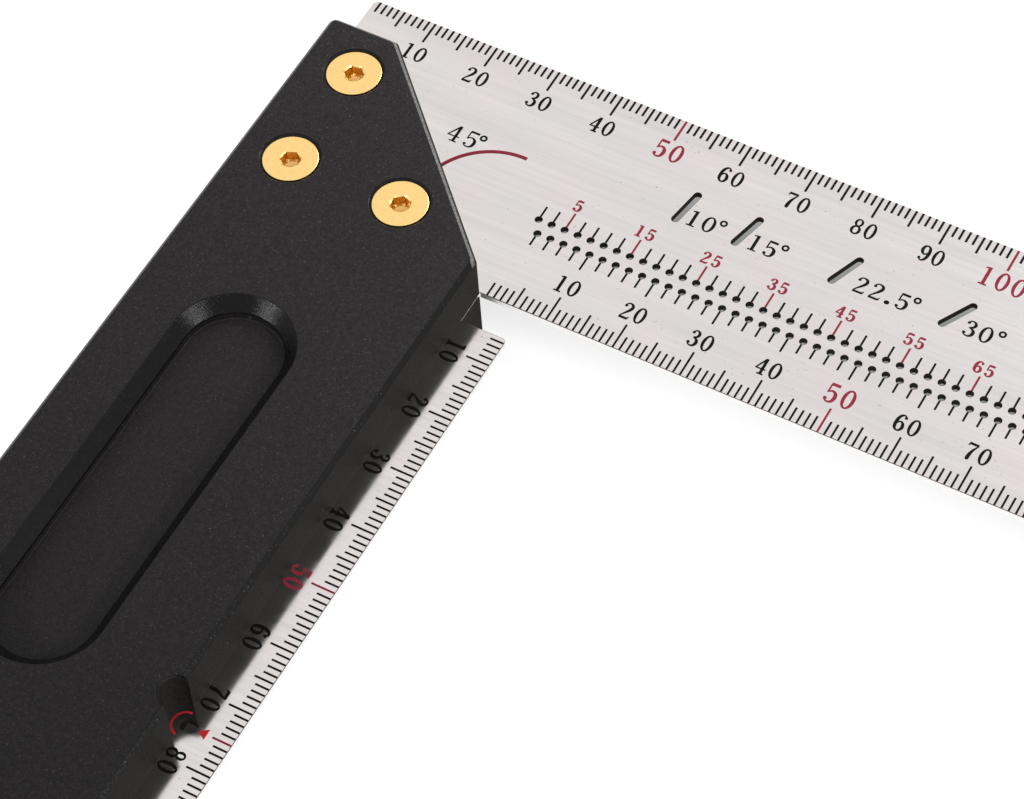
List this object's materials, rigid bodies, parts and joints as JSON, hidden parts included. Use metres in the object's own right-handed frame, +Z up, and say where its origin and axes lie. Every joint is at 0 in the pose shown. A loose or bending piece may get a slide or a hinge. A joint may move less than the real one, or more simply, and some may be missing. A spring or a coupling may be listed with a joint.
{
  "type": "carpenter square",
  "caption": "Steel L-shaped ruled square with marking holes and angle slots, clamped between two aluminium handle cheeks by countersunk screws.",
  "frame": {"origin": "the inner corner where a board is set: on the handle's inner fence face, at the blade's inner edge, level with the underside of the steel plate", "axes": "+X along the blade away from the handle, +Y across the blade towards the handle's head, +Z up through the thickness, out of the ruled face"},
  "size_m": [0.2025, 0.164, 0.016],
  "materials": {
    "ruled_steel": "stainless sheet brushed along the blade, black and red paint-filled rulings",
    "anodised_aluminium": "bead-blasted faces and smooth milled sides, black anodised",
    "gold_screws": "satin gold plating over steel screws",
    "pin_steel": "ground pin steel"
  },
  "bodies": {
    "root": {"blade_plate": "ruled_steel", "front_cheek": "anodised_aluminium", "back_cheek": "anodised_aluminium", "head_screw_1": "gold_screws", "head_screw_2": "gold_screws", "head_screw_3": "gold_screws", "heel_screw_1": "gold_screws", "heel_screw_2": "gold_screws", "dowel_pin_1": "pin_steel", "dowel_pin_2": "pin_steel"}
  },
  "joints": []
}
